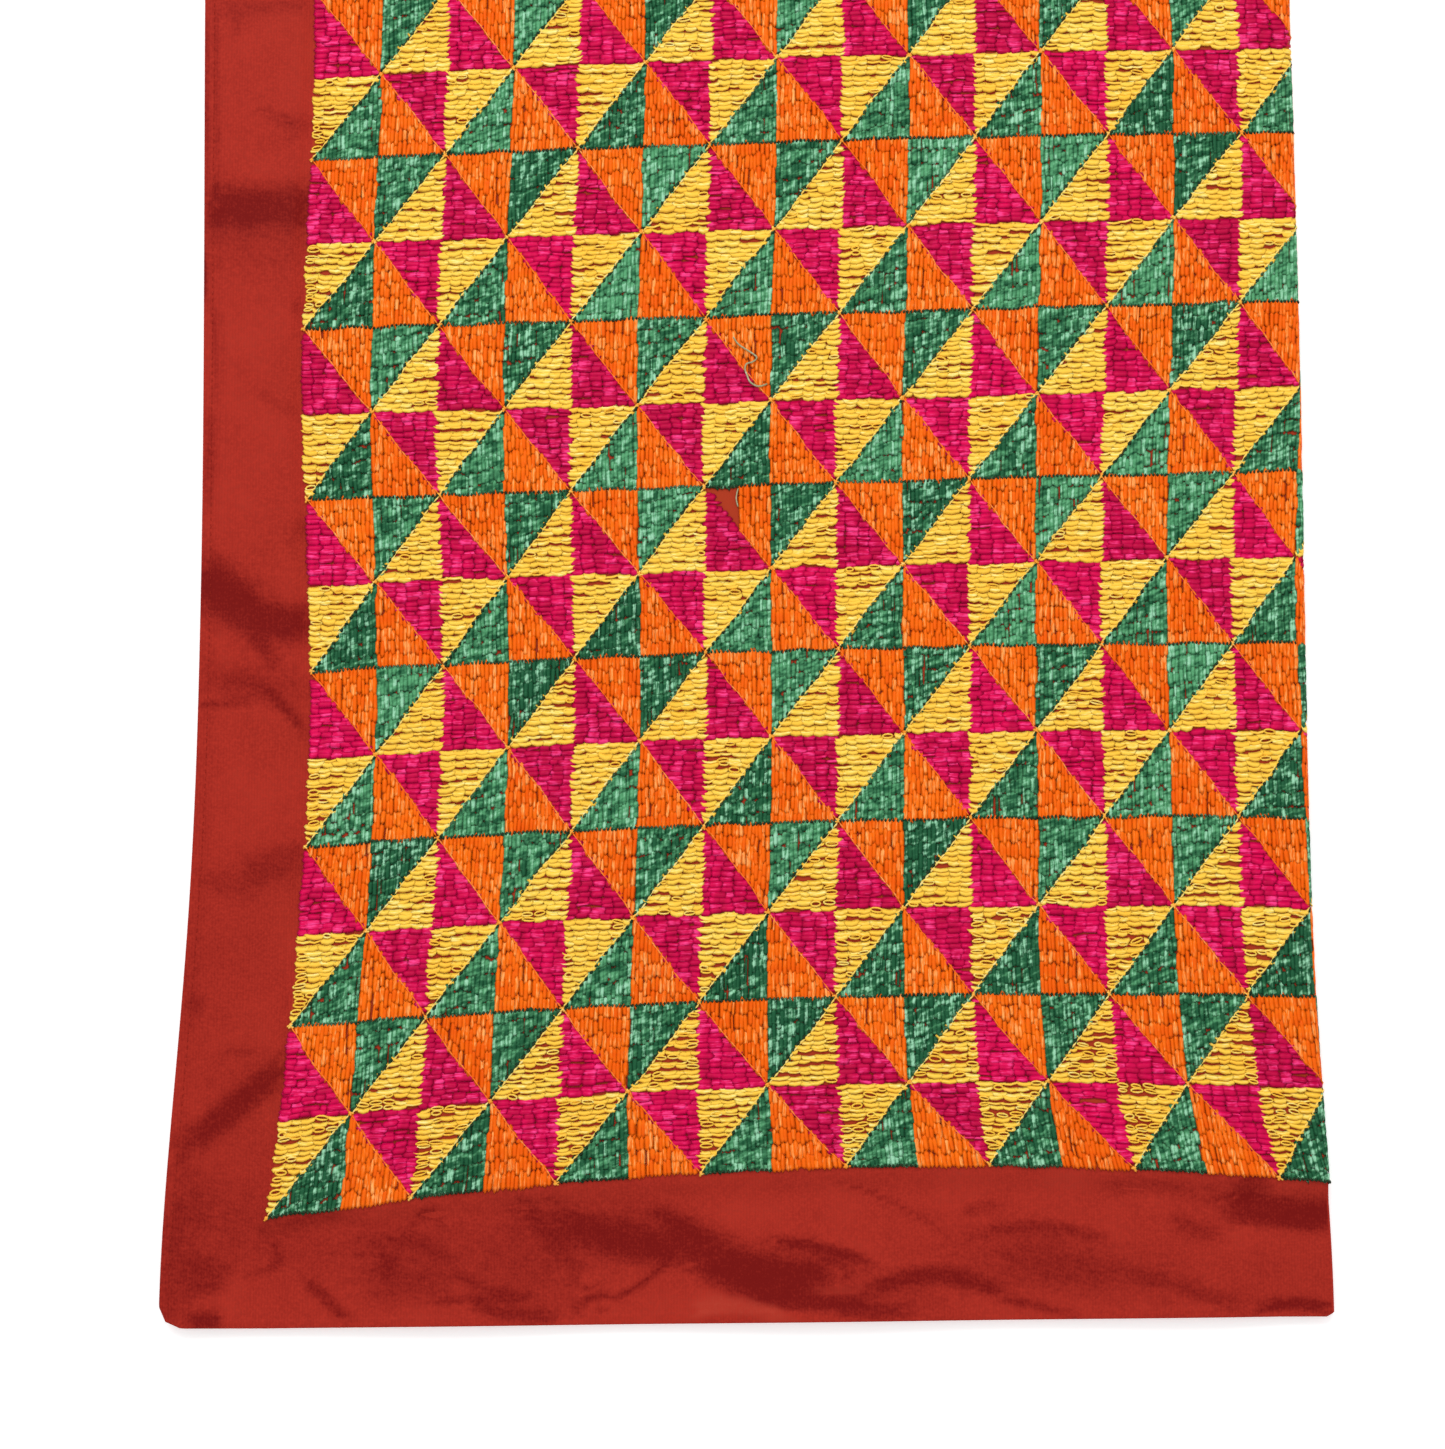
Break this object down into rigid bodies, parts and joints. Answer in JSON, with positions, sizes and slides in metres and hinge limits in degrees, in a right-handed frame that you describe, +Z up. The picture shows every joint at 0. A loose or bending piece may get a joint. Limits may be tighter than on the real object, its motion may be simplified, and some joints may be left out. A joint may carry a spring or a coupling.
{
  "type": "folded phulkari shawl",
  "caption": "Silky rust shawl embroidered all over with triangles of floss, with plain borders, folded lengthwise and crosswise and lying flat.",
  "frame": {"origin": "centre of the bounding box of the folded shawl, on the surface it lies on", "axes": "+Z up out of the top leaf, +Y along the length to the crosswise fold, +X across to the lengthwise fold, -X and -Y to the open edges"},
  "size_m": [0.54, 1.2143, 0.0109],
  "materials": {
    "ground_cloth": "silky, rust red",
    "floss_embroidery": "glossy silk floss, mean of its colours",
    "inner_leaves": "silky, dark rust in the shade between leaves"
  },
  "bodies": {
    "root": {"ground_cloth": "ground_cloth", "floss_embroidery": "floss_embroidery", "inner_leaves": "inner_leaves"}
  },
  "joints": []
}
